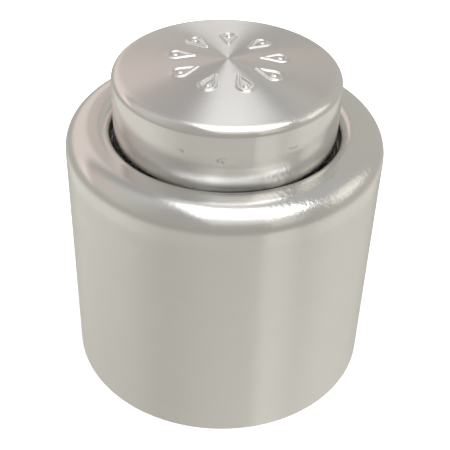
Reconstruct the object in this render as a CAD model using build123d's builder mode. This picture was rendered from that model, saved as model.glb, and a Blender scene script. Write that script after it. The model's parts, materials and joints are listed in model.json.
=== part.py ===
"""Sparkling-wine bottle stopper: a drawn sleeve that slides over a crowned cap and locks six claws.

Millimetres, +Z up. The origin is the centre of the base, on the plane that the stopper stands on.
The model is drawn locked: sleeve down, claws in. Lifting the sleeve swings the claws out.
"""

import os
from math import asin, cos, degrees, radians, sin, sqrt

from build123d import *

os.makedirs("parts", exist_ok=True)

# ---- the bottle that the stopper fits -------------------------------------------------------
mouth_radius = 8.75  # bore of the bottle's mouth
lip_radius = 14.3  # outside of the crown lip, at the mouth
neck_ring_radius = 16.5  # outside of the wire ring, lower on the neck
neck_ring_depth = 22.0  # from the mouth plane down to the underside of the wire ring

# ---- sheet and moulded walls ----------------------------------------------------------------
sleeve_wall = 1.0
sleeve_rim_chamfer = 0.15
cap_wall = 0.9
liner_wall = 1.0
carrier_wall = 1.05

# ---- sleeve and cap heights -----------------------------------------------------------------
sleeve_height = 41.6
cap_stand = 8.6  # height of the cap's rim over the sleeve's top, when locked
cap_crown = 1.7  # rise of the cap's top from rim to centre
cap_edge_radius = 1.5
shoulder_radius = 3.5  # outer roll of the sleeve's shoulder
lip_roll_radius = 2.0  # inner roll, down into the hole
lip_skirt = 1.0  # straight part below the inner roll

# ---- clearances -----------------------------------------------------------------------------
cap_gap = 0.35  # cap to the sleeve's lip
guide_gap = 0.25  # cap to the guide bush
chamber_gap = 0.5  # bottle lip to the carrier's chamber
neck_gap = 0.5  # wire ring to the claws' legs
cam_gap = 0.2  # claw tips to the cam lip
pass_gap = 0.3  # carrier flange to the cam lip, which it passes in assembly
stop_gap = 0.1  # left between two pieces at a stop
knuckle_gap = 0.2  # claw knuckle to a lug, or to the flange above
pin_gap = 0.05  # radial, claw on its pin
stem_gap = 0.1  # radial, stem in the carrier's hub
rub_gap = 0.02  # radial, friction ring on the cap

# ---- claws ----------------------------------------------------------------------------------
claw_count = 6
claw_angle = 50.0  # arc that a claw covers
hook_depth = 1.5  # how far a hook reaches under the wire ring
hook_height = 4.0
hook_lead = 1.4  # lead-in slope at the mouth of the hooks
hook_release = 0.7  # how far a hook clears the wire ring, when open
leg_thickness = 2.2
leg_edge_share = 0.2  # rounding of the leg's upright edges, as a share of its thickness
claw_neck_share = 0.8  # thickness of the neck, as a share of the leg's
leg_drop = 2.6  # from the lugs down to the top of the wide leg
knuckle_radius = 1.6
knuckle_width = 7.0
pin_radius = 0.8
pin_chamfer = 0.2
lug_thickness = 2.2
lug_depth = 3.6

# ---- liner, guide bush and retaining ring ---------------------------------------------------
liner_recess = 0.6  # liner's lower end above the base
cam_lip_height = 4.0
cam_lip_depth = 0.8
lead_in = 0.5
retaining_overlap = 0.8  # how far the retaining ring reaches under the flange
retaining_thickness = 1.2
retaining_gap_angle = 24.0
groove_depth = 0.5
groove_gap = 0.05
guide_depth = 8.4  # from the sleeve's top down to the guide bush's lower face
guide_web = 1.6
guide_inner_collar = 2.4
guide_outer_collar = 1.2
guide_collar_rise = 2.4  # least height of the collars over the web
guide_collar_land = 0.5  # wall left outside the friction ring
friction_ring_radius = 0.8  # section radius

# ---- carrier, plunger and seal --------------------------------------------------------------
flange_thickness = 4.0
spigot_height = 6.0
gasket_preload = 1.8  # how far the bottle pushes the gasket up
gasket_thickness = 2.6
gasket_side_gap = 0.6
gasket_edge_radius = 0.5
plug_length = 4.2
plug_clearance = 0.25
plug_taper = 1.0
plunger_disc = 1.6
plunger_collar_radius = 5.0
spring_room = 7.5
seal_stroke = 2.0
roof_thickness = 2.2
stem_radius = 2.5
stem_end = 1.0  # stem above the clip
stem_chamfer = 0.4
clip_thickness = 0.8
clip_width = 2.6
clip_slot_angle = 70.0
clip_groove_depth = 0.5
washer_thickness = 0.5
washer_width = 3.0
spring_wire_radius = 0.6
spring_mean_radius = 7.2
spring_turns = 3.5
opening_wire_radius = 0.6
opening_ring_bite = 0.5  # how deep the opening ring lies in the claws
opening_ring_drop = 2.1  # below the top of the wide leg
opening_gap_angle = 16.0
screw_radius = 1.5
screw_length = 9.0  # of the plunger's screw hole
screw_tip_gap = 0.5  # hole left above the screw's tip
screw_head_radius = 2.8
screw_head_height = 1.9
screw_head_edge_radius = 0.75
screw_slot = (0.8, 1.0)  # width, depth
gasket_washer_radius = 4.6
gasket_washer_thickness = 0.8
gasket_washer_edge_radius = 0.3
gasket_recess_margin = 0.2

# ---- pressed ornament on the cap ------------------------------------------------------------
mark_count = 9
mark_inner_radius = 4.6
mark_outer_radius = 9.0
mark_half_width = 1.35
mark_stroke = 0.55
mark_relief = 0.25
mark_bead_radius = 0.42

# ---- worked-out radii -----------------------------------------------------------------------
chamber_radius = lip_radius + chamber_gap
cap_inner = chamber_radius + carrier_wall
cap_radius = cap_inner + cap_wall
hole_radius = cap_radius + cap_gap
tube_radius = cap_inner + cap_gap  # carrier's tube below the flange
claw_inner = max(neck_ring_radius + neck_gap, tube_radius + knuckle_radius / 2)
hook_radius = neck_ring_radius - hook_depth
leg_outer = claw_inner + leg_thickness
pivot_radius = max((claw_inner + leg_outer) / 2, tube_radius + knuckle_radius + knuckle_gap)

# ---- worked-out heights ---------------------------------------------------------------------
mouth_z = hook_height + neck_ring_depth
cap_rim_z = sleeve_height + cap_stand
guide_z = sleeve_height - max(guide_depth, shoulder_radius + guide_web + guide_collar_rise)
flange_top = guide_z - stop_gap
flange_bottom = flange_top - flange_thickness
lug_bottom = flange_bottom - lug_depth
pivot_z = flange_bottom - knuckle_gap - knuckle_radius
leg_top = lug_bottom - leg_drop
travel = cap_stand - 2 * stop_gap

# ---- the cam: how far the claws swing, and the room that they need --------------------------
open_angle = asin((hook_depth + hook_release) / (pivot_z - hook_height))  # radians
swing_per_mm = open_angle / travel
claw_relief = (pivot_z - travel - liner_recess) * open_angle  # tip bulge over the leg's back
tip_radius = leg_outer + claw_relief
cam_radius = tip_radius + cam_gap
bore_radius = cam_radius + cam_lip_depth
sleeve_radius = max(
    bore_radius + liner_wall + sleeve_wall,
    hole_radius + lip_roll_radius + shoulder_radius + sleeve_wall,
)
sleeve_inner = sleeve_radius - sleeve_wall
flange_radius = cam_radius - pass_gap
retaining_inner = flange_radius - retaining_overlap
retaining_top = flange_bottom - travel - stop_gap

# ---- worked-out heights of the seal ---------------------------------------------------------
gasket_bottom = mouth_z - gasket_preload
gasket_top = gasket_bottom + gasket_thickness
plug_bottom = gasket_bottom - plug_length
disc_top = gasket_top + plunger_disc
roof_bottom = disc_top + spring_room
roof_top = roof_bottom + roof_thickness
clip_z = roof_top + washer_thickness
stem_top = clip_z + clip_thickness + stem_end
gasket_radius = chamber_radius - gasket_side_gap
plug_radius = mouth_radius - plug_clearance
collar_top = roof_bottom - seal_stroke - stop_gap
cap_top_z = cap_rim_z + cap_crown


def crown_radius(half_width, rise):
    """Radius of the arc that rises so far over that half width."""
    return (half_width**2 + rise**2) / (2 * rise)


def cam_face(z):
    """Outermost radius that a claw's back may have at height z, as the cam lip slides past it."""
    return tip_radius - (pivot_z - z) * swing_per_mm * (z - liner_recess)


def circles_at(piece, radius, tolerance=0.01):
    """The circular edges of that radius on a piece, from the lowest to the highest."""
    circles = piece.edges().filter_by(GeomType.CIRCLE)
    return circles.filter_by(lambda e: abs(e.radius - radius) < tolerance).sort_by(Axis.Z)


def save(piece, label):
    """Labels a finished piece and writes its STEP file."""
    piece.part.label = label
    export_step(piece.part, f"parts/{label}.step")


# ============================ sleeve =========================================================

# Drawn shell: straight wall, rolled shoulder, and a lip that turns down into the hole.
with BuildPart() as sleeve_shell:
    with BuildSketch(Plane.XZ):
        with BuildLine():
            shoulder_z = sleeve_height - shoulder_radius
            roll_z = sleeve_height - lip_roll_radius
            skirt_z = roll_z - lip_skirt
            top_in = sleeve_height - sleeve_wall
            Line((sleeve_inner, 0), (sleeve_radius, 0))
            Line((sleeve_radius, 0), (sleeve_radius, shoulder_z))
            outer_roll = RadiusArc(
                (sleeve_radius, shoulder_z),
                (sleeve_radius - shoulder_radius, sleeve_height),
                -shoulder_radius,
            )
            Line(outer_roll @ 1, (hole_radius + lip_roll_radius, sleeve_height))
            inner_roll = RadiusArc(
                (hole_radius + lip_roll_radius, sleeve_height), (hole_radius, roll_z), -lip_roll_radius
            )
            Line(inner_roll @ 1, (hole_radius, skirt_z))
            Line((hole_radius, skirt_z), (hole_radius + sleeve_wall, skirt_z))
            Line((hole_radius + sleeve_wall, skirt_z), (hole_radius + sleeve_wall, roll_z))
            under_roll = RadiusArc(
                (hole_radius + sleeve_wall, roll_z),
                (hole_radius + lip_roll_radius, top_in),
                lip_roll_radius - sleeve_wall,
            )
            Line(under_roll @ 1, (sleeve_radius - shoulder_radius, top_in))
            under_shoulder = RadiusArc(
                (sleeve_radius - shoulder_radius, top_in),
                (sleeve_inner, shoulder_z),
                shoulder_radius - sleeve_wall,
            )
            Line(under_shoulder @ 1, (sleeve_inner, 0))
        make_face()
    revolve(axis=Axis.Z)
    rim_edges = sleeve_shell.edges().group_by(Axis.Z)[0]
    chamfer(rim_edges, sleeve_rim_chamfer)
save(sleeve_shell, "sleeve_shell")

# Moulded liner: its lower lip is the cam that holds the claws in.
with BuildPart() as cam_liner:
    with BuildSketch(Plane.XZ):
        with BuildLine():
            lip_top = liner_recess + cam_lip_height
            Polyline(
                (sleeve_inner, liner_recess),
                (cam_radius + lead_in, liner_recess),
                (cam_radius, liner_recess + lead_in),
                (cam_radius, lip_top),
                (bore_radius, lip_top + cam_lip_depth),
                (bore_radius, guide_z),
                (sleeve_inner, guide_z),
                close=True,
            )
        make_face()
    revolve(axis=Axis.Z)
    with BuildSketch(Plane.XZ):
        with Locations((bore_radius, retaining_top - retaining_thickness / 2)):
            Rectangle(2 * groove_depth, retaining_thickness + 2 * groove_gap)
    revolve(axis=Axis.Z, mode=Mode.SUBTRACT)
save(cam_liner, "cam_liner")

# Split ring, sprung into the liner's groove: it stops the sleeve at the top of its travel.
with BuildPart() as retaining_ring:
    with BuildSketch(Plane.XY.offset(retaining_top - retaining_thickness)):
        Circle(bore_radius + groove_depth - groove_gap)
        Circle(retaining_inner, mode=Mode.SUBTRACT)
        with BuildLine():
            half_gap = radians(retaining_gap_angle / 2)
            reach = 2 * sleeve_radius
            Polyline(
                (0, 0),
                (reach * cos(half_gap), -reach * sin(half_gap)),
                (reach * cos(half_gap), reach * sin(half_gap)),
                close=True,
            )
        make_face(mode=Mode.SUBTRACT)
    extrude(amount=retaining_thickness)
save(retaining_ring, "retaining_ring")

# Guide bush: centres the cap in the sleeve and carries the friction ring.
friction_z = guide_z + guide_web + guide_collar_rise / 2
friction_centre = cap_radius + rub_gap + friction_ring_radius
bush_inner = cap_radius + guide_gap
bush_collar = max(
    bush_inner + guide_inner_collar, friction_centre + friction_ring_radius + guide_collar_land
)
with BuildPart() as guide_bush:
    with BuildSketch(Plane.XZ):
        with BuildLine():
            bush_top = sleeve_height - shoulder_radius
            web_top = guide_z + guide_web
            Polyline(
                (bush_inner, guide_z),
                (sleeve_inner, guide_z),
                (sleeve_inner, bush_top),
                (sleeve_inner - guide_outer_collar, bush_top),
                (sleeve_inner - guide_outer_collar, web_top),
                (bush_collar, web_top),
                (bush_collar, bush_top),
                (bush_inner, bush_top),
                close=True,
            )
        make_face()
        with Locations((friction_centre, friction_z)):
            Rectangle(
                2 * (friction_ring_radius + groove_gap),
                2 * (friction_ring_radius + groove_gap),
                mode=Mode.SUBTRACT,
            )
    revolve(axis=Axis.Z)
save(guide_bush, "guide_bush")

# Rubber ring that rubs on the cap, so that the sleeve stays where it is put.
with BuildPart() as friction_ring:
    with BuildSketch(Plane.XZ):
        with Locations((friction_centre, friction_z)):
            Circle(friction_ring_radius)
    revolve(axis=Axis.Z)
save(friction_ring, "friction_ring")

# ============================ cap and carrier ================================================

top_radius = crown_radius(cap_radius, cap_crown)
with BuildPart() as cap_shell:
    with BuildSketch(Plane.XZ):
        with BuildLine():
            inner_edge = cap_rim_z - cap_wall
            Line((cap_inner, flange_top), (cap_radius, flange_top))
            Line((cap_radius, flange_top), (cap_radius, cap_rim_z))
            RadiusArc((cap_radius, cap_rim_z), (0, cap_top_z), -top_radius)
            Line((0, cap_top_z), (0, cap_top_z - cap_wall))
            RadiusArc(
                (0, cap_top_z - cap_wall), (cap_inner, inner_edge), crown_radius(cap_inner, cap_crown)
            )
            Line((cap_inner, inner_edge), (cap_inner, flange_top))
        make_face()
    revolve(axis=Axis.Z)
    fillet(circles_at(cap_shell, cap_radius)[-1], cap_edge_radius)
    fillet(circles_at(cap_shell, cap_inner)[-1], cap_edge_radius / 2)

# Pressed ornament: a ring of drop-shaped outlines, each with a bead, that follows the crown.
bulb_centre = mark_outer_radius - mark_half_width
with BuildSketch() as drop:
    with Locations((bulb_centre, 0)):
        Circle(mark_half_width)
    with Locations((mark_inner_radius + mark_stroke / 2, 0)):
        Circle(mark_stroke / 2)
    make_hull()
    offset(amount=-mark_stroke, mode=Mode.SUBTRACT)
    with Locations((bulb_centre, 0)):
        Circle(mark_bead_radius)

with BuildPart() as cap_marks:
    with BuildSketch(Plane.XZ):
        with BuildLine():
            lens = RadiusArc(
                (cap_radius, cap_rim_z + mark_relief), (0, cap_top_z + mark_relief), -top_radius
            )
            Line(lens @ 1, (0, cap_top_z - cap_wall / 2))
            RadiusArc(
                (0, cap_top_z - cap_wall / 2), (cap_radius, cap_rim_z - cap_wall / 2), top_radius
            )
            Line((cap_radius, cap_rim_z - cap_wall / 2), lens @ 0)
        make_face()
    revolve(axis=Axis.Z)
    with BuildSketch(Plane.XY.offset(cap_rim_z - cap_wall)):
        with PolarLocations(0, mark_count, start_angle=90):
            add(drop.sketch)
    extrude(amount=2 * (cap_wall + cap_crown + mark_relief), mode=Mode.INTERSECT)

with cap_shell:
    add(cap_marks.part)
save(cap_shell, "cap_shell")

# Moulded carrier: spigot in the cap, flange under the sleeve's guide, and lugs for the claws.
spigot_top = max(flange_top + spigot_height, roof_top)
lug_reach = retaining_inner - pass_gap
lug_offset = knuckle_width / 2 + knuckle_gap + lug_thickness / 2
with BuildPart() as lug_ring:
    with BuildSketch(Plane.XY.offset(lug_bottom)):
        with PolarLocations(0, claw_count):
            with Locations((lug_reach / 2, lug_offset), (lug_reach / 2, -lug_offset)):
                Rectangle(lug_reach, lug_thickness)
    extrude(amount=lug_depth + flange_thickness / 2)
    with BuildSketch(Plane.XY.offset(lug_bottom)):
        Circle(lug_reach)
        Circle(chamber_radius + carrier_wall / 2, mode=Mode.SUBTRACT)
    extrude(amount=lug_depth + flange_thickness / 2, mode=Mode.INTERSECT)

with BuildPart() as claw_carrier:
    with BuildSketch(Plane.XZ):
        with Locations((0, roof_bottom)):
            Rectangle(cap_inner, roof_thickness, align=(Align.MIN, Align.MIN))
        with Locations((chamber_radius, flange_bottom)):
            Rectangle(
                cap_inner - chamber_radius, spigot_top - flange_bottom, align=(Align.MIN, Align.MIN)
            )
        with Locations((chamber_radius, flange_bottom)):
            Rectangle(
                flange_radius - chamber_radius, flange_thickness, align=(Align.MIN, Align.MIN)
            )
        with Locations((chamber_radius, lug_bottom)):
            Rectangle(
                tube_radius - chamber_radius, lug_depth, align=(Align.MIN, Align.MIN)
            )
    revolve(axis=Axis.Z)
    add(lug_ring.part)
    with BuildSketch(Plane.XY.offset(roof_bottom)):
        Circle(stem_radius + stem_gap)
    extrude(amount=roof_thickness, mode=Mode.SUBTRACT)
    for turn in range(claw_count):
        claw_plane = Plane.XZ.rotated((0, 0, turn * 360 / claw_count))
        with BuildSketch(claw_plane):
            with Locations((pivot_radius, pivot_z)):
                Circle(pin_radius)
        extrude(amount=lug_offset + lug_thickness, both=True, mode=Mode.SUBTRACT)
save(claw_carrier, "claw_carrier")

# ============================ claws, pins and opening ring ===================================

opening_z = leg_top - opening_ring_drop
opening_radius = claw_inner + opening_ring_bite - opening_wire_radius
cam_end = travel + liner_recess
pin_length = 2 * (lug_offset + lug_thickness / 2)


def make_claw():
    """One claw, over the +X axis: a wide leg with its hook, a narrow neck and a knuckle."""
    with BuildPart() as claw:
        with BuildSketch(Plane.XZ):
            with BuildLine():
                foot = tip_radius - liner_recess
                Polyline(
                    (foot, 0),
                    (hook_radius + hook_lead, 0),
                    (hook_radius, hook_lead),
                    (hook_radius, hook_height),
                    (claw_inner, hook_height),
                    (claw_inner, leg_top),
                    (leg_outer, leg_top),
                    (leg_outer, cam_end),
                )
                ThreePointArc(
                    (leg_outer, cam_end),
                    (cam_face(cam_end / 2), cam_end / 2),
                    (tip_radius, liner_recess),
                )
                Line((tip_radius, liner_recess), (foot, 0))
            make_face()
        revolve(axis=Axis.Z, revolution_arc=claw_angle)
        claw.part = claw.part.rotate(Axis.Z, -claw_angle / 2)
        with BuildSketch(Plane.XZ):
            with Locations((opening_radius, opening_z)):
                Circle(opening_wire_radius + groove_gap)
        revolve(axis=Axis.Z, mode=Mode.SUBTRACT)
        leg_edges = claw.edges().filter_by(Axis.Z).group_by(SortBy.LENGTH)[-1]
        fillet(leg_edges, leg_thickness * leg_edge_share)
        with BuildSketch(Plane.XZ):
            with Locations((pivot_radius, pivot_z)):
                Circle(knuckle_radius)
            with Locations((pivot_radius, leg_top - leg_thickness / 2)):
                Rectangle(
                    leg_thickness * claw_neck_share,
                    pivot_z - leg_top + leg_thickness / 2,
                    align=(Align.CENTER, Align.MIN),
                )
        extrude(amount=knuckle_width / 2, both=True)
        with BuildSketch(Plane.XZ):
            with Locations((pivot_radius, pivot_z)):
                Circle(pin_radius + pin_gap)
        extrude(amount=knuckle_width, both=True, mode=Mode.SUBTRACT)
    return claw


def make_pin():
    """One hinge pin, over the +X axis, with rounded ends."""
    with BuildPart() as pin:
        with BuildSketch(Plane.XZ):
            with Locations((pivot_radius, pivot_z)):
                Circle(pin_radius)
        extrude(amount=pin_length / 2, both=True)
        chamfer(pin.edges().filter_by(GeomType.CIRCLE), pin_chamfer)
    return pin


for number in range(1, claw_count + 1):
    azimuth = (number - 1) * 360 / claw_count
    claw = make_claw()
    claw.part = claw.part.rotate(Axis.Z, azimuth)
    save(claw, f"claw_{number}")
    pin = make_pin()
    pin.part = pin.part.rotate(Axis.Z, azimuth)
    save(pin, f"hinge_pin_{number}")

# Split wire ring inside the claws, which springs them out as the sleeve lifts.
with BuildPart() as opening_ring:
    with BuildSketch(Plane.XZ):
        with Locations((opening_radius, opening_z)):
            Circle(opening_wire_radius)
    revolve(axis=Axis.Z, revolution_arc=360 - opening_gap_angle)
save(opening_ring, "opening_ring")

# ============================ seal ===========================================================

with BuildPart() as seal_plunger:
    with BuildSketch(Plane.XZ):
        with BuildLine():
            Polyline(
                (0, gasket_top),
                (gasket_radius, gasket_top),
                (gasket_radius, disc_top),
                (plunger_collar_radius, disc_top),
                (plunger_collar_radius, collar_top),
                (stem_radius, collar_top),
                (stem_radius, clip_z),
                (stem_radius - clip_groove_depth, clip_z),
                (stem_radius - clip_groove_depth, clip_z + clip_thickness),
                (stem_radius, clip_z + clip_thickness),
                (stem_radius, stem_top),
                (0, stem_top),
                close=True,
            )
        make_face()
    revolve(axis=Axis.Z)
    with BuildSketch(Plane.XY.offset(gasket_top)):
        Circle(screw_radius)
    extrude(amount=screw_length, mode=Mode.SUBTRACT)
    chamfer(circles_at(seal_plunger, stem_radius)[-1], stem_chamfer)
save(seal_plunger, "seal_plunger")

recess_top = plug_bottom + screw_head_height + gasket_washer_thickness + gasket_recess_margin
with BuildPart() as gasket:
    with BuildSketch(Plane.XZ):
        with BuildLine():
            recess_radius = gasket_washer_radius + gasket_recess_margin
            Polyline(
                (screw_radius, gasket_top),
                (screw_radius, recess_top),
                (recess_radius, recess_top),
                (recess_radius, plug_bottom),
                (plug_radius - plug_taper, plug_bottom),
                (plug_radius, plug_bottom + plug_taper),
                (plug_radius, gasket_bottom),
                (gasket_radius, gasket_bottom),
                (gasket_radius, gasket_top),
                close=True,
            )
        make_face()
    revolve(axis=Axis.Z)
    fillet(circles_at(gasket, gasket_radius)[0], gasket_edge_radius)
save(gasket, "gasket")

washer_bottom = recess_top - gasket_washer_thickness
with BuildPart() as gasket_washer:
    with BuildSketch(Plane.XY.offset(washer_bottom)):
        Circle(gasket_washer_radius)
        Circle(screw_radius, mode=Mode.SUBTRACT)
    extrude(amount=gasket_washer_thickness)
    fillet(circles_at(gasket_washer, gasket_washer_radius)[0], gasket_washer_edge_radius)
save(gasket_washer, "gasket_washer")

with BuildPart() as gasket_screw:
    with BuildSketch(Plane.XY.offset(washer_bottom - screw_head_height)):
        Circle(screw_head_radius)
    extrude(amount=screw_head_height)
    fillet(circles_at(gasket_screw, screw_head_radius)[0], screw_head_edge_radius)
    with BuildSketch(Plane.XY.offset(washer_bottom)):
        Circle(screw_radius)
    extrude(amount=gasket_top + screw_length - screw_tip_gap - washer_bottom)
    with BuildSketch(Plane.XY.offset(washer_bottom - screw_head_height)):
        Rectangle(2 * screw_head_radius, screw_slot[0])
    extrude(amount=screw_slot[1], mode=Mode.SUBTRACT)
save(gasket_screw, "gasket_screw")

# Steel washer on the carrier's roof, and the split clip that holds the stem up.
with BuildPart() as thrust_washer:
    with BuildSketch(Plane.XY.offset(roof_top)):
        Circle(stem_radius + stem_gap + washer_width)
        Circle(stem_radius + stem_gap, mode=Mode.SUBTRACT)
    extrude(amount=washer_thickness)
save(thrust_washer, "thrust_washer")

with BuildPart() as stem_clip:
    with BuildSketch(Plane.XY.offset(clip_z)):
        Circle(stem_radius - clip_groove_depth + clip_width)
        Circle(stem_radius - clip_groove_depth, mode=Mode.SUBTRACT)
        with BuildLine():
            half_slot = radians(clip_slot_angle / 2)
            slot_reach = 4 * stem_radius
            Polyline(
                (0, 0),
                (slot_reach * cos(half_slot), -slot_reach * sin(half_slot)),
                (slot_reach * cos(half_slot), slot_reach * sin(half_slot)),
                close=True,
            )
        make_face(mode=Mode.SUBTRACT)
    extrude(amount=clip_thickness)
save(stem_clip, "stem_clip")

# Compression spring between the plunger's disc and the carrier's roof.
spring_low = disc_top + spring_wire_radius + rub_gap
spring_high = roof_bottom - spring_wire_radius - rub_gap
with BuildPart() as seal_spring:
    with BuildLine():
        coil = Helix(
            pitch=(spring_high - spring_low) / spring_turns,
            height=spring_high - spring_low,
            radius=spring_mean_radius,
            center=(0, 0, spring_low),
        )
    with BuildSketch(Plane(coil @ 0, z_dir=coil % 0)):
        Circle(spring_wire_radius)
    sweep(is_frenet=True)
save(seal_spring, "seal_spring")

print(f"sleeve diameter {2 * sleeve_radius:.2f}, cap diameter {2 * cap_radius:.2f}")
print(f"overall height {cap_top_z + mark_relief:.2f}, sleeve travel {travel:.2f}")
print(f"claw swing {degrees(open_angle):.3f} degrees, {1000 * swing_per_mm:.5f} rad per metre")
print(f"pivot at radius {pivot_radius:.3f}, height {pivot_z:.3f}; hook radius {hook_radius:.2f}")
print(f"seal: mouth plane {mouth_z:.2f}, gasket face {gasket_bottom:.2f}, plug {plug_bottom:.2f}")
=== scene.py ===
"""Looks of the sparkling-wine bottle stopper: turned aluminium over moulded inner parts."""

import json
from math import atan2, cos, pi, radians, sin, sqrt

import bpy
from mathutils import Matrix, Vector


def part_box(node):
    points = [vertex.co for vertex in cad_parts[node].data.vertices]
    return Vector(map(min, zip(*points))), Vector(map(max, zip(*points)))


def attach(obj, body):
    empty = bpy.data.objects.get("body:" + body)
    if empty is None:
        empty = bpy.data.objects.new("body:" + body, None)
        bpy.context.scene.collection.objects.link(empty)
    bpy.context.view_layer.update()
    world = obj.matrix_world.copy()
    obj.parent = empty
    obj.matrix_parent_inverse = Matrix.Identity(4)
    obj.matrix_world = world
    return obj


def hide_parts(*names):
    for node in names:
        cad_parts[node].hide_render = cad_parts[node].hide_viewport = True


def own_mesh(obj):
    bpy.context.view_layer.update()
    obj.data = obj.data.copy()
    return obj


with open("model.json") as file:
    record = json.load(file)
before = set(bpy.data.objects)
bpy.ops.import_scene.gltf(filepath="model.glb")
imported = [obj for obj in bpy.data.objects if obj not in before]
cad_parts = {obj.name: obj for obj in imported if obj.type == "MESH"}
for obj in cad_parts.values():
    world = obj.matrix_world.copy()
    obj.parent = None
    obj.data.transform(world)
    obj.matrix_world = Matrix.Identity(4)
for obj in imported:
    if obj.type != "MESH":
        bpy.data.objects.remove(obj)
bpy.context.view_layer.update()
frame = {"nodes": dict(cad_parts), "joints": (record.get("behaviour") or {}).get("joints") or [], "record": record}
MM = 0.001

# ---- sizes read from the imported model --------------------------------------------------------
sleeve_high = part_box("sleeve_shell")[1]
cap_low, cap_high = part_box("cap_shell")
sleeve_radius = min(sleeve_high[0], sleeve_high[1])
sleeve_height = sleeve_high[2]
cap_radius = min(cap_high[0], cap_high[1])

# ---- sizes of the drawn sheet, as in the part's source ---------------------------------------
sleeve_wall = 1.0 * MM
cap_wall = 0.9 * MM
cap_gap = 0.35 * MM
shoulder_radius = 3.5 * MM
lip_roll_radius = 2.0 * MM
lip_skirt = 1.0 * MM
rim_chamfer = 0.15 * MM
cap_edge_radius = 1.5 * MM
cap_crown = 1.7 * MM
cap_stand = 8.6 * MM
hole_radius = cap_radius + cap_gap
cap_rim_z = sleeve_height + cap_stand
cap_top_z = cap_rim_z + cap_crown

# ---- sizes of the pressed ornament -----------------------------------------------------------
mark_count = 9
mark_inner_radius = 4.6 * MM
mark_outer_radius = 9.0 * MM
mark_half_width = 1.35 * MM
mark_stroke = 0.55 * MM
mark_relief = 0.25 * MM
mark_bead_radius = 0.42 * MM

# ---- sizes of the seal's spring --------------------------------------------------------------
spring_low, spring_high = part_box("seal_spring")
spring_wire_radius = 0.6 * MM
spring_mean_radius = 7.2 * MM
spring_turns = 3.5
spring_points_a_turn = 64
spring_points_round_wire = 24
spring_length = spring_high[2] - spring_low[2]
seal_travel = next(j for j in frame["joints"] if j["name"] == "seal_slide")["range_m"][1]

# ============================ camera ==========================================================

VIEW_ELEVATION = 0.6604
VIEW_DISTANCE = 6.41  # in sleeve radii
VIEW_TARGET = (0.0190, 0.0, 0.9125)  # in sleeve radii
VIEW_ROLL = 0.0356
VIEW_LENS = 75.65


def make_camera():
    target = Vector(VIEW_TARGET) * sleeve_radius
    back = Vector((0, -cos(VIEW_ELEVATION), sin(VIEW_ELEVATION)))
    level_up = Vector((0, sin(VIEW_ELEVATION), cos(VIEW_ELEVATION)))
    level_right = Vector((1, 0, 0))
    right = level_right * cos(VIEW_ROLL) + level_up * sin(VIEW_ROLL)
    up = level_up * cos(VIEW_ROLL) - level_right * sin(VIEW_ROLL)
    data = bpy.data.cameras.new("camera")
    data.lens = VIEW_LENS
    data.sensor_width = 36.0
    data.clip_start = 0.005
    data.clip_end = 20.0
    camera = bpy.data.objects.new("camera", data)
    bpy.context.scene.collection.objects.link(camera)
    turn = Matrix((right, up, back)).transposed().to_4x4()
    camera.matrix_world = Matrix.Translation(target + back * VIEW_DISTANCE * sleeve_radius) @ turn
    bpy.context.scene.camera = camera


make_camera()


# ============================ node trees as Python expressions ================================


class Socket:
    """A node socket that takes part in Python expressions. Each operation adds a Math node."""

    def __init__(self, tree, out):
        self.tree = tree
        self.out = out

    def node(self, kind, settings=None, out=0, **values):
        return add_node(self.tree, kind, settings, out, **values)

    def math(self, operation, *values):
        node = self.tree.nodes.new("ShaderNodeMath")
        node.operation = operation
        for place, value in enumerate((self,) + values):
            feed(self.tree, node.inputs[place], value)
        return Socket(self.tree, node.outputs[0])

    def __add__(self, other):
        return self.math("ADD", other)

    def __radd__(self, other):
        return self.math("ADD", other)

    def __sub__(self, other):
        return self.math("SUBTRACT", other)

    def __rsub__(self, other):
        return (self * -1.0) + other

    def __mul__(self, other):
        return self.math("MULTIPLY", other)

    def __rmul__(self, other):
        return self.math("MULTIPLY", other)

    def __truediv__(self, other):
        return self.math("DIVIDE", other)

    def __neg__(self):
        return self * -1.0

    def __abs__(self):
        return self.math("ABSOLUTE")

    def __pow__(self, other):
        return self.math("POWER", other)

    def sin(self):
        return self.math("SINE")

    def cos(self):
        return self.math("COSINE")

    def sqrt(self):
        return self.math("SQRT")

    def least(self, other):
        return self.math("MINIMUM", other)

    def most(self, other):
        return self.math("MAXIMUM", other)

    def clamp(self):
        return self.most(0.0).least(1.0)

    def ramp(self, low, high):
        """0 below low, 1 above high, and smooth between them. low may be above high."""
        if low < high:
            return step_up(self, low, high)
        return 1.0 - step_up(self, high, low)


def step_up(value, low, high):
    share = ((value - low) * (1.0 / (high - low))).clamp()
    return share * share * (3.0 - share * 2.0)


def feed(tree, socket, value):
    """Links a Socket to an input, or sets the input to a plain value."""
    if isinstance(value, Socket):
        tree.links.new(value.out, socket)
    elif value is not None:
        socket.default_value = value


def add_node(tree, kind, settings=None, out=0, **values):
    """Adds a node: its settings first, then the values or links of its sockets by name."""
    node = tree.nodes.new(kind)
    for name, value in (settings or {}).items():
        setattr(node, name, value)
    for name, value in values.items():
        key = name.replace("_", " ")
        match = [s for s in node.inputs if s.name.lower() == key.lower() and s.enabled]
        feed(tree, match[0] if match else node.inputs[int(name[1:])], value)
    return Socket(tree, node.outputs[out])


def vector(tree, x, y, z):
    return add_node(tree, "ShaderNodeCombineXYZ", X=x, Y=y, Z=z)


def split(tree, value):
    node = tree.nodes.new("ShaderNodeSeparateXYZ")
    feed(tree, node.inputs[0], value)
    return [Socket(tree, out) for out in node.outputs]


def mix_colour(tree, share, low, high):
    """Blend of two colours by a share from 0 to 1."""
    node = tree.nodes.new("ShaderNodeMix")
    node.data_type = "RGBA"
    feed(tree, node.inputs[0], share)
    feed(tree, node.inputs[6], low)
    feed(tree, node.inputs[7], high)
    return Socket(tree, node.outputs[2])


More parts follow.
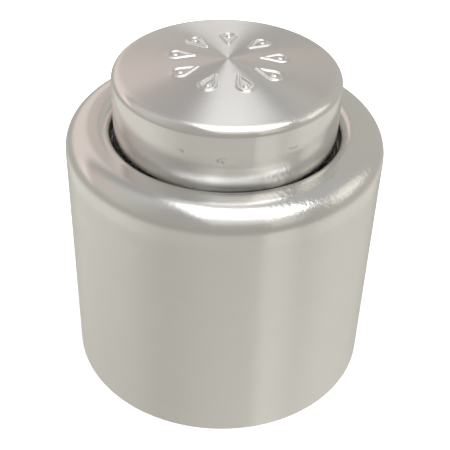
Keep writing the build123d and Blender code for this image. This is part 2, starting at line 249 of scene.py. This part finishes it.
def noise(tree, place, scale, detail=2.0, roughness=0.5, distortion=0.0):
    """Noise from 0 to 1, about 0.5."""
    return add_node(
        tree,
        "ShaderNodeTexNoise",
        {"noise_dimensions": "3D"},
        Vector=place,
        Scale=scale,
        Detail=detail,
        Roughness=roughness,
        Distortion=distortion,
    )


class Finish:
    """A material on the Principled shader, with its node tree at hand."""

    def __init__(self, name, **constants):
        self.material = bpy.data.materials.new(name)
        self.material.use_nodes = True
        self.tree = self.material.node_tree
        self.shader = self.tree.nodes["Principled BSDF"]
        for key, value in constants.items():
            self.shader.inputs[key.replace("_", " ")].default_value = value
        coordinates = self.tree.nodes.new("ShaderNodeTexCoord")
        self.place = Socket(self.tree, coordinates.outputs["Object"])
        self.x, self.y, self.z = split(self.tree, self.place)
        self.radius = (self.x * self.x + self.y * self.y + 1e-10).sqrt()

    def set(self, name, value):
        feed(self.tree, self.shader.inputs[name], value)

    def noise(self, scale, detail=2.0, roughness=0.5, place=None, distortion=0.0):
        return noise(self.tree, place or self.place, scale, detail, roughness, distortion)

    def colour(self, share, low, high):
        self.set("Base Color", mix_colour(self.tree, share, low + (1,), high + (1,)))

    def bump(self, height, depth, strength=1.0):
        """Height from 0 to 1 that stands so many metres deep."""
        node = self.tree.nodes.new("ShaderNodeBump")
        node.inputs["Strength"].default_value = strength
        node.inputs["Distance"].default_value = depth
        feed(self.tree, node.inputs["Height"], height)
        self.set("Normal", Socket(self.tree, node.outputs[0]))


# ============================ metals ==========================================================

# how many marks of each kind a metre holds
TOOL_LINES = 5200.0
TOOL_WAVES = 700.0
HANDLING_CLOUDS = 95.0
SMEARS = 340.0
SCUFF_SPECKS = 2600.0
ORANGE_PEEL = 1700.0
# a mark's deepest relief, in metres
METAL_RELIEF = 0.000012
# the darkest tone of handling marks, tool lines, scuffs and of the painted shade, as a share of the bare metal's
WEAR_AND_SHADE_TONE = 0.72


def turned_lines(finish, fine, coarse):
    """Marks that a lathe tool and an abrasive leave round the axis: long along the turn,
    fine across it. Returns fine and coarse lines, each from 0 to 1."""
    round_x = finish.x / finish.radius
    round_y = finish.y / finish.radius
    across = finish.z + finish.radius * 0.83
    thin = vector(finish.tree, round_x * 0.9, round_y * 0.9, across * fine)
    wide = vector(finish.tree, round_x * 0.5, round_y * 0.5, across * coarse)
    return finish.noise(1.0, 3.0, 0.65, thin), finish.noise(1.0, 2.0, 0.5, wide)


def spot(finish, angle, height, long, tall):
    """A soft mask at an angle round the axis (0 at the front) and a height, in metres."""
    side = Vector((cos(angle), sin(angle)))
    front = Vector((sin(angle), -cos(angle)))
    along = finish.x * side[0] + finish.y * side[1]
    facing = (finish.x * front[0] + finish.y * front[1]).ramp(0.0, 0.001)
    up = finish.z - height
    away = ((along * (1 / long)) ** 2.0 + (up * (1 / tall)) ** 2.0).sqrt()
    return away.ramp(1.0, 0.35) * facing


def make_turned_aluminium(name, base, rough, zones, scuffs=()):
    """Bare aluminium turned on a lathe, with a little handling wear.
    zones gives extra roughness, painted shade and darker tone, and grain over the surface, each from 0."""
    finish = Finish(name, Metallic=1.0, Anisotropic=1.0, Anisotropic_Rotation=0.25)
    fine, coarse = turned_lines(finish, TOOL_LINES, TOOL_WAVES)
    cloud = finish.noise(HANDLING_CLOUDS, 4.0, 0.6)
    smear = finish.noise(SMEARS, 3.0, 0.6)
    extra, painted_shade_and_tone, brush, grain = zones(finish)
    # darker in random handling clouds and tool lines, and where the zones paint shade
    dark = cloud * 0.5 + coarse * 0.25 + fine * 0.25 - painted_shade_and_tone
    for angle, height, long, tall in scuffs:
        mark = spot(finish, angle, height, long, tall)
        specks = finish.noise(SCUFF_SPECKS, 2.0, 0.6).ramp(0.42, 0.62)
        dark = dark - mark * specks * 2.2
    low = tuple(c * WEAR_AND_SHADE_TONE for c in base)
    finish.colour(dark.ramp(-1.0, 0.60), low, base)
    uneven = (cloud - 0.5) * 0.06 + (fine - 0.5) * 0.08 + (smear - 0.5) * 0.04
    finish.set("Roughness", uneven + rough + extra)
    peel = finish.noise(ORANGE_PEEL, 3.0, 0.55)
    finish.bump(fine * (brush + 0.22) + coarse * 0.20 + peel * grain, METAL_RELIEF)
    return finish.material


def sleeve_zones(finish):
    """Brushed on the left of the lip, stretched to orange peel on the right of the shoulder,
    and painted shade on the lip at the front, in the groove round the cap."""
    across = finish.x / finish.radius
    front = finish.y.ramp(0.0, -0.006)
    shoulder_low = sleeve_height - 1.5 * shoulder_radius
    high = finish.z.ramp(shoulder_low, sleeve_height - 0.4 * shoulder_radius)
    wall = finish.z.ramp(
        sleeve_height - 1.2 * shoulder_radius, sleeve_height - 1.8 * shoulder_radius
    )
    lip = finish.radius.ramp(
        sleeve_radius - 0.55 * shoulder_radius, sleeve_radius - shoulder_radius
    )
    brushed = across.ramp(-0.66, -0.50) * across.ramp(-0.02, -0.22) * lip * front * high
    stretched = across.ramp(0.15, 0.45) * front * high
    groove = finish.radius.ramp(
        hole_radius + 1.6 * lip_roll_radius, hole_radius + 0.6 * lip_roll_radius
    )
    # painted shade: the lip darkened at the front next to the gap round the cap
    painted_shade_and_tone = groove * across.ramp(-0.25, 0.15) * across.ramp(0.60, 0.30) * 1.3
    grain = high * 0.8 + stretched * 3.5 + 0.08
    return wall * 0.08 + brushed * 0.05, painted_shade_and_tone, brushed * 3.4 + high * 0.15, grain


def cap_zones(finish):
    """A coarser cut over the top, a few dents on the right of its edge, painted shade on the
    skirt's foot at the front near the groove, and a darker tone over the whole skirt."""
    across = finish.x / finish.radius
    front = finish.y.ramp(0.0, -0.006)
    top = finish.z.ramp(cap_rim_z - 1.0 * cap_edge_radius, cap_rim_z)
    faced = top * finish.radius.ramp(cap_radius, cap_radius - 1.2 * cap_edge_radius)
    edge = finish.radius.ramp(
        cap_radius - 1.6 * cap_edge_radius, cap_radius - 0.5 * cap_edge_radius
    )
    dented = across.ramp(0.45, 0.60) * across.ramp(0.85, 0.75) * front * edge * top
    groove = finish.z.ramp(sleeve_height + 2.6 * MM, sleeve_height + 0.8 * MM)
    middle = across.ramp(-0.35, -0.05) * across.ramp(0.55, 0.25) * front
    # painted shade over the skirt's foot at the front, by the groove, and a plain darker tone over the skirt below
    # the top
    painted_shade_and_tone = groove * middle * 1.1 + (1.0 - top) * 0.34
    grain = edge * top * 0.5 + dented * 4.0 + 0.05
    return faced * 0.24, painted_shade_and_tone, 0.0, grain


# each scuff: angle round the axis, height, length round it, and height of the mark
sleeve_scuffs = [
    (radians(140), 28 * MM, 1.5 * MM, 0.3 * MM),
    (radians(205), 15 * MM, 0.5 * MM, 1.1 * MM),
]
cap_scuffs = [
    (radians(-20), 46.3 * MM, 0.7 * MM, 0.35 * MM),
    (radians(-1), 45.6 * MM, 1.0 * MM, 0.55 * MM),
    (radians(34), 46.3 * MM, 1.1 * MM, 0.3 * MM),
    (radians(150), 46.0 * MM, 1.0 * MM, 0.4 * MM),
]
aluminium_sleeve = make_turned_aluminium(
    "turned_aluminium_sleeve", (0.79, 0.785, 0.765), 0.15, sleeve_zones, sleeve_scuffs
)
aluminium_cap = make_turned_aluminium(
    "turned_aluminium_cap", (0.835, 0.825, 0.81), 0.12, cap_zones, cap_scuffs
)


def make_steel(name, base, rough):
    """Drawn or ground spring steel."""
    finish = Finish(name, Metallic=1.0)
    cloud = finish.noise(420.0, 3.0, 0.6)
    drawn = finish.noise(2600.0, 2.0, 0.6)
    finish.colour(cloud.ramp(0.3, 0.7), tuple(c * 0.86 for c in base), base)
    finish.set("Roughness", (cloud - 0.5) * 0.2 + (drawn - 0.5) * 0.1 + rough)
    finish.bump(drawn, 0.000006)
    return finish.material


# ============================ plastics and rubber =============================================


def make_moulded(name, base, rough, texture, depth):
    """Satin moulded plastic with a fine spark-eroded grain and a faint flow pattern."""
    finish = Finish(
        name, Subsurface_Weight=0.08, Subsurface_Scale=0.0012, Coat_Weight=0.0, IOR=1.5
    )
    flow = finish.noise(70.0, 3.0, 0.55, distortion=0.6)
    grain = finish.noise(texture, 2.0, 0.6)
    finish.colour(flow.ramp(0.25, 0.75), tuple(c * 0.93 for c in base), base)
    finish.set("Roughness", (flow - 0.5) * 0.12 + (grain - 0.5) * 0.12 + rough)
    finish.bump(grain * 0.8 + flow * 0.2, depth)
    return finish.material


def make_rubber(name, base, rough):
    """Silicone or rubber: matt, with a fine bloom."""
    finish = Finish(name, Specular_IOR_Level=0.35, Sheen_Weight=0.15)
    bloom = finish.noise(160.0, 4.0, 0.6)
    grain = finish.noise(3800.0, 2.0, 0.6)
    finish.colour(bloom.ramp(0.3, 0.75), tuple(c * 0.9 for c in base), base)
    finish.set("Roughness", (bloom - 0.5) * 0.15 + rough)
    finish.bump(grain * 0.6 + bloom * 0.4, 0.00002)
    return finish.material


finishes = {
    "liner": make_moulded("moulded_liner", (0.62, 0.62, 0.59), 0.42, 2600.0, 0.00001),
    "carrier": make_moulded("moulded_carrier", (0.74, 0.74, 0.70), 0.40, 2600.0, 0.00001),
    "claw": make_moulded("moulded_claw", (0.68, 0.68, 0.64), 0.38, 3000.0, 0.000012),
    "plunger": make_moulded("moulded_plunger", (0.74, 0.74, 0.70), 0.40, 2600.0, 0.00001),
    "gasket": make_rubber("silicone_gasket", (0.60, 0.585, 0.54), 0.55),
    "friction_ring": make_rubber("black_rubber", (0.028, 0.028, 0.03), 0.5),
    "spring_steel": make_steel("spring_steel", (0.56, 0.555, 0.54), 0.30),
    "pin": make_steel("ground_steel", (0.60, 0.60, 0.59), 0.22),
    "screw": make_steel("bright_steel", (0.64, 0.64, 0.63), 0.20),
}
for entry in frame["record"]["subparts"]:
    slot_name = entry["material_slot"]
    if slot_name in finishes:
        mesh = frame["nodes"][entry["node"]].data
        mesh.materials.clear()
        mesh.materials.append(finishes[slot_name])


# ============================ lathe work in Geometry Nodes ====================================


def new_tree(name, sizes):
    """A geometry tree with a named input for each size. Returns it and its inputs as Sockets."""
    tree = bpy.data.node_groups.new(name, "GeometryNodeTree")
    tree.interface.new_socket("Geometry", in_out="INPUT", socket_type="NodeSocketGeometry")
    tree.interface.new_socket("Geometry", in_out="OUTPUT", socket_type="NodeSocketGeometry")
    kinds = {float: "NodeSocketFloat", int: "NodeSocketInt"}
    for label, value in sizes.items():
        tree.interface.new_socket(label, in_out="INPUT", socket_type=kinds[type(value)])
    source = tree.nodes.new("NodeGroupInput")
    return tree, [Socket(tree, out) for out in source.outputs]


def end_tree(tree, geometry, material):
    real = add_node(tree, "GeometryNodeRealizeInstances", Geometry=geometry)
    done = add_node(tree, "GeometryNodeSetMaterial", Geometry=real, Material=material)
    sink = tree.nodes.new("NodeGroupOutput")
    tree.links.new(done.out, sink.inputs[0])


def run_tree(name, mesh, tree, sizes):
    """Runs a tree on a mesh and returns a plain object with the result."""
    work = bpy.data.objects.new(name + "_work", mesh)
    bpy.context.scene.collection.objects.link(work)
    modifier = work.modifiers.new("lathe", "NODES")
    modifier.node_group = tree
    for item in tree.interface.items_tree:
        if item.in_out == "INPUT" and item.name in sizes:
            modifier[item.identifier] = sizes[item.name]
    view = bpy.context.evaluated_depsgraph_get()
    result = bpy.data.meshes.new_from_object(work.evaluated_get(view), depsgraph=view)
    work.modifiers.clear()
    bpy.data.objects.remove(work)
    result.name = name
    piece = bpy.data.objects.new(name, result)
    bpy.context.scene.collection.objects.link(piece)
    return piece


def lathe_surface(tree, profile, turns, pitch_radius):
    """Sweeps the profile round the axis and closes the poles and the seam."""
    section = add_node(tree, "GeometryNodeMeshToCurve", Mesh=profile)
    circle = add_node(
        tree, "GeometryNodeCurvePrimitiveCircle", Resolution=turns, Radius=pitch_radius
    )
    swept = tree.nodes.new("GeometryNodeCurveToMesh")
    tree.links.new(circle.out, swept.inputs["Curve"])
    tree.links.new(section.out, swept.inputs["Profile Curve"])
    merged = add_node(
        tree, "GeometryNodeMergeByDistance", Geometry=Socket(tree, swept.outputs[0]), Distance=2e-6
    )
    return add_node(tree, "GeometryNodeSetShadeSmooth", Geometry=merged)


def arc_points(centre_r, centre_z, radius, start, end, count):
    """Points of an arc. Angles are from straight up, positive outwards, in degrees."""
    points = []
    for step in range(count + 1):
        angle = radians(start + (end - start) * step / count)
        points.append((centre_r + radius * sin(angle), centre_z + radius * cos(angle)))
    return points


def run_points(start, end, count):
    """Evenly spaced points of a straight run, without its start."""
    return [
        (
            start[0] + (end[0] - start[0]) * step / count,
            start[1] + (end[1] - start[1]) * step / count,
        )
        for step in range(1, count + 1)
    ]


def profile_mesh(name, points, pitch_radius, closed):
    """Edges of a lathe profile. The sweep takes x outwards from the pitch circle and y downwards."""
    mesh = bpy.data.meshes.new(name)
    edges = [(i, i + 1) for i in range(len(points) - 1)]
    if closed:
        edges.append((len(points) - 1, 0))
    mesh.from_pydata([(r - pitch_radius, -z, 0.0) for r, z in points], edges, [])
    return mesh


def sleeve_profile():
    """Outside from the hole outwards and down, then back up the inside."""
    shoulder_z = sleeve_height - shoulder_radius
    roll_r = hole_radius + lip_roll_radius
    roll_z = sleeve_height - lip_roll_radius
    skirt_z = roll_z - lip_skirt
    inner = sleeve_radius - sleeve_wall
    points = [(hole_radius, skirt_z + 0.1 * MM)]
    points += [(hole_radius, skirt_z + 0.5 * MM)]
    points += arc_points(roll_r, roll_z, lip_roll_radius, -90, 0, 20)
    points += run_points(points[-1], (sleeve_radius - shoulder_radius, sleeve_height), 3)
    points += arc_points(
        sleeve_radius - shoulder_radius, shoulder_z, shoulder_radius, 0, 90, 30
    )[1:]
    points += run_points(points[-1], (sleeve_radius, rim_chamfer + 0.05 * MM), 14)
    points += arc_points(
        sleeve_radius - rim_chamfer, rim_chamfer, rim_chamfer, 90, 180, 5
    )
    points += arc_points(inner + rim_chamfer, rim_chamfer, rim_chamfer, 180, 270, 5)
    points += run_points(points[-1], (inner, shoulder_z), 4)
    thin_shoulder = shoulder_radius - sleeve_wall
    points += arc_points(
        sleeve_radius - shoulder_radius, shoulder_z, thin_shoulder, 90, 0, 10
    )[1:]
    thin_roll = lip_roll_radius - sleeve_wall
    points += arc_points(roll_r, roll_z, thin_roll, 0, -90, 8)
    points += [(hole_radius + sleeve_wall, skirt_z), (hole_radius + 0.1 * MM, skirt_z)]
    return points


def crown_radius(half_width, rise):
    return (half_width**2 + rise**2) / (2 * rise)


def cap_profile(fine_low, fine_high, fine_steps):
    """Over the dome from the axis, round the edge and down the skirt, then back inside."""
    big = crown_radius(cap_radius, cap_crown)
    centre_z = cap_top_z - big
    inside = big - cap_edge_radius
    edge_r = cap_radius - cap_edge_radius
    edge_z = centre_z + sqrt(inside**2 - edge_r**2)
    lean = pi / 2 - atan2(edge_z - centre_z, edge_r)
    points = [(0.0, cap_top_z)]

    def dome(r, ball):
        return (r, centre_z + sqrt(ball**2 - r**2))

    for step in range(1, 15):
        points.append(dome(fine_low * step / 15, big))
    for step in range(fine_steps + 1):
        points.append(dome(fine_low + (fine_high - fine_low) * step / fine_steps, big))
    tangent_r = big * sin(lean)
    for step in range(1, 25):
        points.append(dome(fine_high + (tangent_r - fine_high) * step / 25, big))
    points += arc_points(edge_r, edge_z, cap_edge_radius, lean * 180 / pi, 90, 16)
    skirt = cap_low[2]
    points += run_points(points[-1], (cap_radius, skirt), 10)
    inner_r = cap_radius - cap_wall
    points += [(inner_r, skirt)]
    points += run_points(points[-1], (inner_r, cap_rim_z - 2 * cap_wall), 3)
    small = big - cap_wall
    for step in range(13):
        r = (inner_r - 0.4 * MM) * (1 - step / 12)
        points.append(dome(r, small))
    return points


def make_sleeve():
    pitch = 20 * MM
    sizes = {"Turns": 360, "Pitch Radius": pitch}
    tree, (profile, turns, pitch_radius, _) = new_tree("lathe_sleeve", sizes)
    end_tree(tree, lathe_surface(tree, profile, turns, pitch_radius), aluminium_sleeve)
    mesh = profile_mesh("sleeve_profile", sleeve_profile(), pitch, closed=True)
    return run_tree("sleeve_skin", mesh, tree, sizes)


def drop_distance(along, across):
    """Distance from the middle of a mark's stroke, in metres: a drop's outline and its bead.
    along runs outwards from the axis and across runs round it."""
    bulb = mark_outer_radius - mark_half_width
    bulb_outer = mark_half_width - mark_stroke / 2
    tip_outer = 0.001 * MM
    tip = mark_inner_radius + mark_stroke / 2
    reach = bulb - tip
    lean = (bulb_outer - tip_outer) / reach
    slope = sqrt(1 - lean**2)
    side = abs(across)
    run = along - tip
    # where the point stands along the drop's slanted flank
    flank = run * slope + side * lean
    off_flank = side * slope - run * lean - tip_outer
    off_bulb = ((along - bulb) ** 2.0 + side**2.0).sqrt() - bulb_outer
    off_tip = (run**2.0 + side**2.0).sqrt() - tip_outer
    on_bulb = (flank - reach * slope).ramp(-0.00001, 0.00001)
    on_tip = flank.ramp(0.00001, -0.00001)
    outline = abs(
        off_bulb * on_bulb + off_tip * on_tip + off_flank * (1.0 - on_bulb - on_tip)
    )
    bead = ((along - bulb) ** 2.0 + side**2.0).sqrt() - mark_bead_radius + mark_stroke / 2
    return outline.least(bead)


def make_cap():
    pitch = 10 * MM
    sizes = {
        "Turns": 900,
        "Pitch Radius": pitch,
        "Marks": mark_count,
        "Relief": mark_relief,
        "Stroke": mark_stroke,
    }
    tree, (profile, turns, pitch_radius, marks, relief, stroke, _) = new_tree("lathe_cap", sizes)
    skin = lathe_surface(tree, profile, turns, pitch_radius)
    x, y, z = split(tree, add_node(tree, "GeometryNodeInputPosition"))
    radius = (x * x + y * y).sqrt()
    share = y.math("ARCTAN2", x) * (1 / (2 * pi)) - 0.25 + 1.0
    turn = ((share * marks + 0.5).math("FRACT") - 0.5) / marks * (2 * pi)
    distance = drop_distance(radius * turn.cos(), radius * turn.sin())
    edge = distance / stroke
    height = edge.ramp(0.80, 0.12) * relief
    on_top = z.ramp(cap_rim_z - 0.5 * cap_wall, cap_rim_z - 0.3 * cap_wall)
    on_ring = (
        radius.ramp(mark_inner_radius - 0.4 * MM, mark_inner_radius - 0.3 * MM)
        * radius.ramp(mark_outer_radius + 0.4 * MM, mark_outer_radius + 0.3 * MM)
    )
    outside = (z - cap_rim_z).ramp(0.6 * MM, 0.9 * MM)
    lift = vector(tree, 0.0, 0.0, height * on_top * on_ring * outside)
    pressed = add_node(tree, "GeometryNodeSetPosition", Geometry=skin, Offset=lift)
    end_tree(tree, pressed, aluminium_cap)
    points = cap_profile(mark_inner_radius - 0.4 * MM, mark_outer_radius + 0.4 * MM, 72)
    mesh = profile_mesh("cap_profile", points, pitch, closed=False)
    return run_tree("cap_skin", mesh, tree, sizes)


def make_spring():
    """The seal's compression spring: round wire wound about the axis."""
    sizes = {
        "Turns": spring_turns,
        "Mean Radius": spring_mean_radius,
        "Wire Radius": spring_wire_radius,
        "Wound Height": spring_length - 2 * spring_wire_radius,
        "Foot": spring_low[2] + spring_wire_radius,
    }
    tree, (_, turns, mean_radius, wire_radius, wound_height, foot, _) = new_tree(
        "wind_spring", sizes
    )
    coil = add_node(
        tree,
        "GeometryNodeCurveSpiral",
        Resolution=spring_points_a_turn,
        Rotations=turns,
        Start_Radius=mean_radius,
        End_Radius=mean_radius,
        Height=wound_height,
        Reverse=True,
    )
    section = add_node(
        tree,
        "GeometryNodeCurvePrimitiveCircle",
        Resolution=spring_points_round_wire,
        Radius=wire_radius,
    )
    wire = tree.nodes.new("GeometryNodeCurveToMesh")
    tree.links.new(coil.out, wire.inputs["Curve"])
    tree.links.new(section.out, wire.inputs["Profile Curve"])
    wire.inputs["Fill Caps"].default_value = True
    smooth = add_node(tree, "GeometryNodeSetShadeSmooth", Geometry=Socket(tree, wire.outputs[0]))
    raised = add_node(
        tree, "GeometryNodeTransform", Geometry=smooth, Translation=vector(tree, 0.0, 0.0, foot)
    )
    end_tree(tree, raised, finishes["spring_steel"])
    return run_tree("seal_spring_coil", bpy.data.meshes.new("spring_start"), tree, sizes)


sleeve_skin = make_sleeve()
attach(sleeve_skin, "sleeve")
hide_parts("sleeve_shell")

cap_skin = make_cap()
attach(cap_skin, "core")
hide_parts("cap_shell")

spring_coil = make_spring()
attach(spring_coil, "core")
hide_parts("seal_spring")
# the seal pushes the spring's foot up by its whole travel, and the roof holds its top; the share of the spring's
# length left then is worked out below but not applied to the coil
1 - seal_travel / spring_length
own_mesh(spring_coil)

# ============================ floor and light =================================================


def make_floor():
    size = 3.0
    mesh = bpy.data.meshes.new("floor")
    corners = [(-size, -size, 0), (size, -size, 0), (size, size, 0), (-size, size, 0)]
    mesh.from_pydata(corners, [], [(0, 1, 2, 3)])
    floor = bpy.data.objects.new("floor", mesh)
    bpy.context.scene.collection.objects.link(floor)
    finish = Finish("pale_floor", Roughness=0.9, Specular_IOR_Level=0.1)
    finish.colour(finish.noise(3.0), (0.90, 0.90, 0.895), (0.92, 0.92, 0.915))
    mesh.materials.append(finish.material)
    floor.visible_glossy = False


def make_light(name, place, aim, width, height, power, colour=(1, 1, 1), glossy=True):
    """A soft rectangular light at a place, facing a point."""
    data = bpy.data.lights.new(name, "AREA")
    data.shape = "RECTANGLE"
    data.size = width
    data.size_y = height
    data.energy = power
    data.color = colour
    light = bpy.data.objects.new(name, data)
    bpy.context.scene.collection.objects.link(light)
    facing = Vector(aim) - Vector(place)
    light.matrix_world = (
        Matrix.Translation(Vector(place)) @ facing.to_track_quat("-Z", "Y").to_matrix().to_4x4()
    )
    light.visible_glossy = glossy
    return light


def make_world():
    """A pale room: a warm grey table, a darker horizon, lighter walls and a ceiling window."""
    table_grey, horizon_grey, wall_grey, window_glow = 0.565, 0.40, 0.43, 1.95
    world = bpy.data.worlds.new("studio")
    world.use_nodes = True
    bpy.context.scene.world = world
    tree = world.node_tree
    back = tree.nodes["Background"]
    coordinates = tree.nodes.new("ShaderNodeTexCoord")
    x, y, z = split(tree, Socket(tree, coordinates.outputs["Generated"]))
    side = x.math("ARCTAN2", -y)
    across = x / z.most(0.02)
    ahead = -y / z.most(0.02)
    strip = side.ramp(0.48, 0.60) * side.ramp(1.10, 0.82)
    # below the horizon: lighter at both sides and, in front, towards the foot
    table = z.ramp(-0.26, -0.52)
    right = side.ramp(0.80, 1.60)
    left = side.ramp(-0.6, -1.5)
    near = z.ramp(-0.60, -0.85)
    foot = near * (side - 0.8).cos()
    low = table_grey + right * 0.18 + left * (0.20 - near * 0.14) + strip * 0.14 + foot * 0.15
    # straight behind, low down: the dark edge of the table, which every outline mirrors
    behind = abs(side).ramp(2.3, 2.8) * z.ramp(-0.25, -0.45)
    low = low - behind * 0.30
    # above the horizon
    front_left = left * abs(side + 1.3).ramp(0.9, 0.5)
    back_left = ahead.ramp(-0.75, -1.15) * across.ramp(-0.1, -0.5)
    lamp = abs(side - 1.70).ramp(0.40, 0.16) * z.ramp(0.10, 0.25) * z.ramp(0.75, 0.5)
    high = wall_grey + front_left * 0.16 + back_left * 0.32 + right * 0.08
    high = high + strip * 0.22 + lamp * 0.50
    horizon = horizon_grey + right * 0.10 + left * 0.06
    level = low * table + (1.0 - table) * horizon
    level = level + (high - level) * z.ramp(-0.05, 0.18)
    # the bright ceiling, as a soft-edged rectangle over and in front of the stopper
    window = (
        across.ramp(-0.39, -0.14)
        * across.ramp(1.25, 0.75)
        * (ahead - across * 0.4).ramp(-0.30, -0.08)
        * (ahead.ramp(0.95, 0.45) * 0.8 + ahead.ramp(2.6, 0.9) * 0.2)
        * z.ramp(0.05, 0.1)
    )
    level = level + window * window_glow
    pinkish = side.ramp(-1.2, -1.8) * z.ramp(-0.1, 0.3)
    warm = mix_colour(tree, pinkish, (1.04, 1.01, 0.93, 1), (1.11, 0.98, 0.92, 1))
    tint = mix_colour(tree, z.ramp(0.5, 0.9), warm, (1.0, 1.0, 1.0, 1))
    shade = tree.nodes.new("ShaderNodeVectorMath")
    shade.operation = "SCALE"
    feed(tree, shade.inputs[0], tint)
    feed(tree, shade.inputs["Scale"], level)
    feed(tree, back.inputs["Color"], Socket(tree, shade.outputs[0]))
    back.inputs["Strength"].default_value = 1.0


make_floor()
make_world()
make_light("floor_fill", (0.0, 0.0, 1.6), (0, 0, 0), 2.5, 2.5, 50.0, glossy=False)
bpy.context.scene.view_settings.view_transform = "Standard"
bpy.context.scene.view_settings.look = "None"
